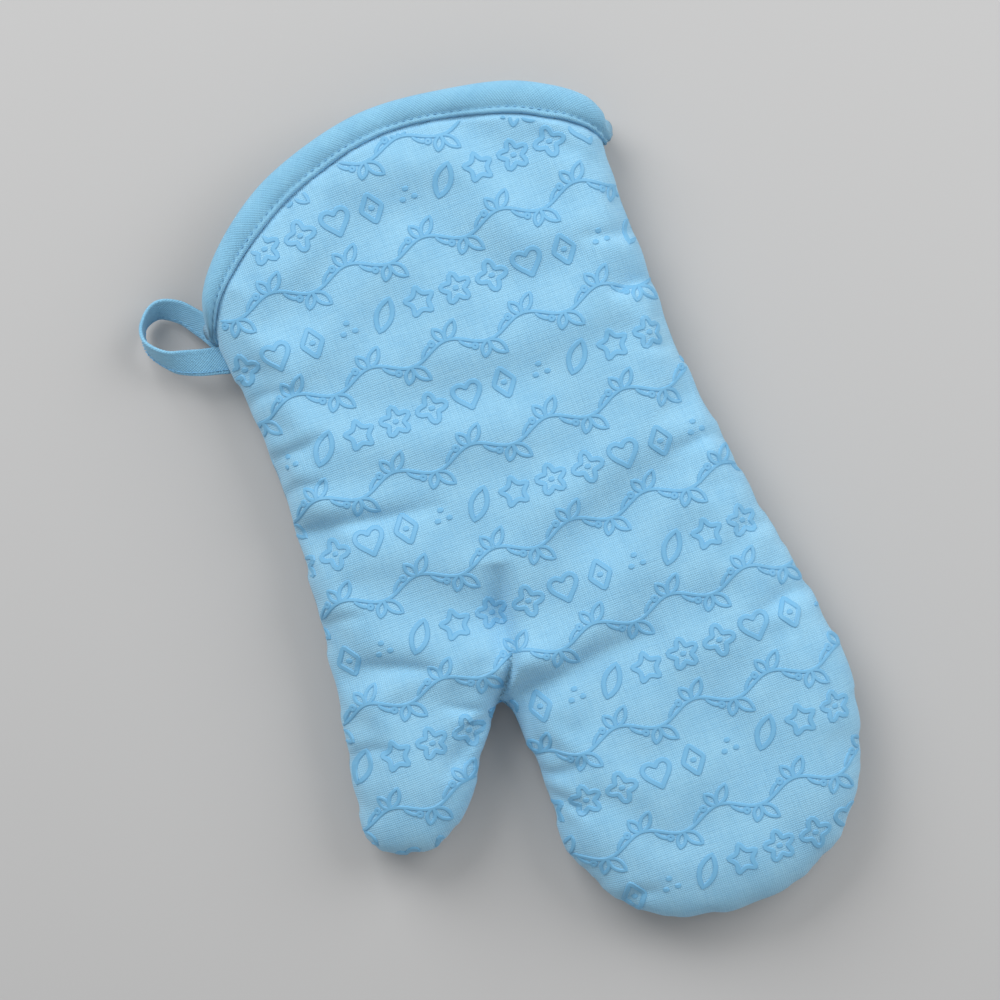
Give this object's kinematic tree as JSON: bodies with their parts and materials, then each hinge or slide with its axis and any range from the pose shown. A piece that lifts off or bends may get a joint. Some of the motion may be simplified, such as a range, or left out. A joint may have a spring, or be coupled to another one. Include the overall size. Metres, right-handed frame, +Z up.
{
  "type": "oven mitt",
  "caption": "Padded cotton oven mitt with a separate thumb, a lined pocket for the hand, an arched cuff bound with tape and a hanging loop sewn into the thumb-side seam.",
  "frame": {"origin": "middle of the footprint, on the surface that the mitt lies on, palm side up", "axes": "+Y from the fingertips towards the cuff, -X towards the thumb, +Z up out of the palm side"},
  "size_m": [0.2106, 0.3308, 0.03],
  "materials": {
    "shell_cotton": "matt, pale blue cotton canvas in plain weave",
    "wadding": "soft needled fibre, off-white",
    "lining_cotton": "matt, unbleached plain-weave cotton",
    "binding_tape": "matt, pale blue folded cotton tape",
    "thread": "slightly glossy pale blue sewing thread",
    "silicone_print": "satin pale blue silicone relief printed on the shell"
  },
  "bodies": {
    "mitt": {"palm_shell": "shell_cotton", "back_shell": "shell_cotton", "palm_wadding": "wadding", "back_wadding": "wadding", "palm_lining": "lining_cotton", "back_lining": "lining_cotton", "palm_binding": "binding_tape", "back_binding": "binding_tape", "palm_binding_thread": "thread", "back_binding_thread": "thread", "side_seam_thread": "thread", "lining_seam_thread": "thread"},
    "loop": {"hanging_loop": "binding_tape", "hanging_loop_thread": "thread"}
  },
  "joints": [
    {"name": "loop_swing", "type": "hinge", "parent": "mitt", "child": "loop", "pos_m": [-0.08302, 0.1019, 0.0115], "axis": [0, 1, 0], "range_deg": [-70, 80]}
  ]
}
